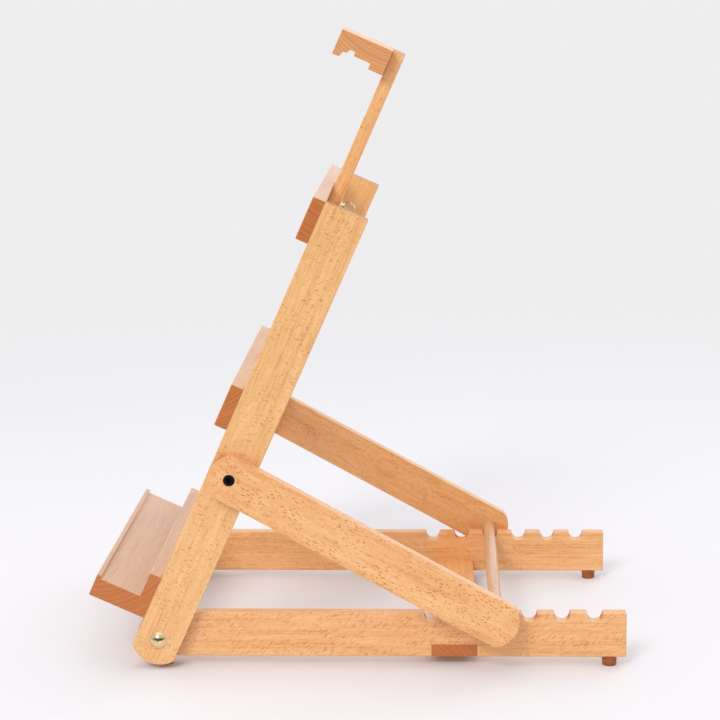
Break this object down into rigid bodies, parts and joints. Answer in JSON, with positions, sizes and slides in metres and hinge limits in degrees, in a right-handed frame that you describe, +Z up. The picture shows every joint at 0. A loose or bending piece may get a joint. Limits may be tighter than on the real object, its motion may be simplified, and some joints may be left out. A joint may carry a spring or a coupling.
{
  "type": "wooden table easel",
  "caption": "Folding wooden table easel: slotted mast with top holder, canvas tray, H-shaped upright on notched rails, and swing-up support arms.",
  "frame": {"origin": "on the surface the feet stand on, under the middle of the easel's overall box", "axes": "+Z up, +X to the right of someone facing the canvas side, -Y the canvas side"},
  "size_m": [0.3264, 0.4838, 0.5705],
  "materials": {
    "beech": "satin",
    "brown_foot": "matt",
    "brass": "polished",
    "black_steel": "black oxide",
    "zinc_steel": "zinc plated"
  },
  "bodies": {
    "base": {"right_rail": "beech", "left_rail": "beech", "cross_strip": "beech", "cross_strip_screws": "zinc_steel", "front_right_foot": "brown_foot", "front_left_foot": "brown_foot", "rear_right_foot": "brown_foot", "rear_left_foot": "brown_foot", "foot_nails": "zinc_steel"},
    "upright": {"right_post": "beech", "left_post": "beech", "upper_crossbar": "beech", "lower_crossbar": "beech", "tray": "beech", "upper_crossbar_screws": "zinc_steel", "lower_crossbar_screws": "zinc_steel", "tray_screws": "zinc_steel", "post_pivot_bolts": "brass", "post_pivot_spacers": "brass", "post_pivot_washers": "brass", "post_pivot_nuts": "brass", "arm_pivot_screws": "black_steel", "arm_pivot_inserts": "brass", "arm_pivot_washers": "brass", "clamp_bolt": "brass", "clamp_bolt_washer": "brass", "guide_bolt": "brass", "guide_bolt_washer": "brass", "guide_nut": "brass"},
    "mast": {"mast": "beech", "top_holder": "beech", "holder_screws": "zinc_steel"},
    "wing_nut": {"wing_nut": "brass"},
    "support": {"right_arm": "beech", "left_arm": "beech", "support_dowel": "beech"}
  },
  "joints": [
    {"name": "upright_tilt", "type": "hinge", "parent": "base", "child": "upright", "pos_m": [0, -0.18008, 0.0269], "axis": [1, 0, 0], "range_deg": [0, 18]},
    {"name": "support_swing", "type": "hinge", "parent": "upright", "child": "support", "pos_m": [0, -0.11162, 0.17922], "axis": [1, 0, 0], "range_deg": [0, 94.8]},
    {"name": "mast_slide", "type": "slide", "parent": "upright", "child": "mast", "axis": [0, 0.4099, 0.9121], "range_m": [-0.1121, 0.0766]},
    {"name": "wing_nut_turn", "type": "hinge", "parent": "upright", "child": "wing_nut", "pos_m": [0, -0.01957, 0.40076], "axis": [0, 0.9121, -0.4099], "continuous": true}
  ]
}
